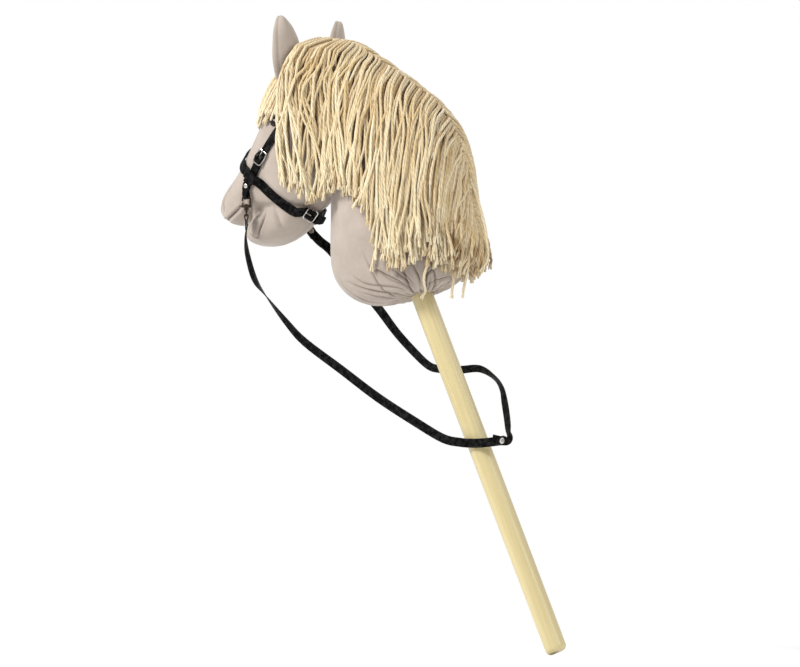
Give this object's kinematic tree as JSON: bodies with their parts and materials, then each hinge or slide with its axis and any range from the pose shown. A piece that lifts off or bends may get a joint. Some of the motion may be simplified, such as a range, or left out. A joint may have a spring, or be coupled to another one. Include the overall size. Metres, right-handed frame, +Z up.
{
  "type": "hobby horse",
  "caption": "Stuffed cloth horse head on a round wooden stick, with a yarn mane, a strap halter with buckles and reins on snap hooks.",
  "frame": {"origin": "centre of the stick's flat lower end", "axes": "+Z is up as the toy is held, with the stick leaning 23.6 degrees towards the horse's muzzle; -X is the way the horse looks; -Y is the horse's left side"},
  "size_m": [0.444, 0.1372, 0.7251],
  "materials": {
    "cloth": "brushed plain-woven cloth, matte",
    "yarn": "twisted cotton yarn, matte",
    "crest_tape": "woven cotton tape, matte",
    "wood": "sanded, clear satin varnish",
    "strap": "smooth, satin",
    "steel": "polished",
    "black_eye": "gloss"
  },
  "bodies": {
    "horse_and_stick": {"cheek_buckle_frame": "steel", "cheek_keeper": "strap", "cheek_rivet_left": "steel", "cheek_rivet_right": "steel", "cheek_strap_left": "strap", "crown_strap": "strap", "ear_left": "cloth", "ear_right": "cloth", "eye_left": "black_eye", "eye_right": "black_eye", "eye_washer_left": "black_eye", "eye_washer_right": "black_eye", "forelock": "yarn", "gather_tie": "yarn", "head": "cloth", "join_rivet": "steel", "lower_jaw": "cloth", "mane_left": "yarn", "mane_right": "yarn", "mane_tape": "crest_tape", "neck": "cloth", "noseband": "strap", "noseband_buckle_frame": "steel", "noseband_keeper": "strap", "rein_left": "strap", "rein_right": "strap", "rein_rivet_left": "steel", "rein_rivet_right": "steel", "snap_eye_left": "steel", "snap_eye_right": "steel", "stick": "wood"},
    "cheek_prong": {"cheek_buckle_prong": "steel"},
    "noseband_prong": {"noseband_buckle_prong": "steel"},
    "hook_left": {"snap_hook_left": "steel", "snap_pin_left": "steel"},
    "lever_left": {"snap_lever_left": "steel"},
    "hook_right": {"snap_hook_right": "steel", "snap_pin_right": "steel"},
    "lever_right": {"snap_lever_right": "steel"}
  },
  "joints": [
    {"name": "cheek_prong_hinge", "type": "hinge", "parent": "horse_and_stick", "child": "cheek_prong", "pos_m": [-0.36178, -0.04779, 0.56107], "axis": [0.8275, -0.1566, -0.5392], "range_deg": [0, 95]},
    {"name": "noseband_prong_hinge", "type": "hinge", "parent": "horse_and_stick", "child": "noseband_prong", "pos_m": [-0.31283, -0.01888, 0.49548], "axis": [0.5365, 0.2191, 0.815], "range_deg": [0, 95]},
    {"name": "snap_swivel_left", "type": "hinge", "parent": "horse_and_stick", "child": "hook_left", "pos_m": [-0.38105, -0.04588, 0.51711], "axis": [0, 0, 1], "range_deg": [-12, 12]},
    {"name": "snap_lever_left_hinge", "type": "hinge", "parent": "hook_left", "child": "lever_left", "pos_m": [-0.38565, -0.04588, 0.50521], "axis": [0, 1, 0], "range_deg": [0, 22], "stiffness_Nm_per_rad": 0.0005, "springref_deg": -17.19},
    {"name": "snap_swivel_right", "type": "hinge", "parent": "horse_and_stick", "child": "hook_right", "pos_m": [-0.36632, 0.03875, 0.50255], "axis": [-0.5055, -0.2936, 0.8113], "range_deg": [-12, 12]},
    {"name": "snap_lever_right_hinge", "type": "hinge", "parent": "hook_right", "child": "lever_right", "pos_m": [-0.36398, 0.04135, 0.49028], "axis": [-0.3246, 0.936, 0.1365], "range_deg": [0, 22], "stiffness_Nm_per_rad": 0.0005, "springref_deg": -17.19}
  ]
}
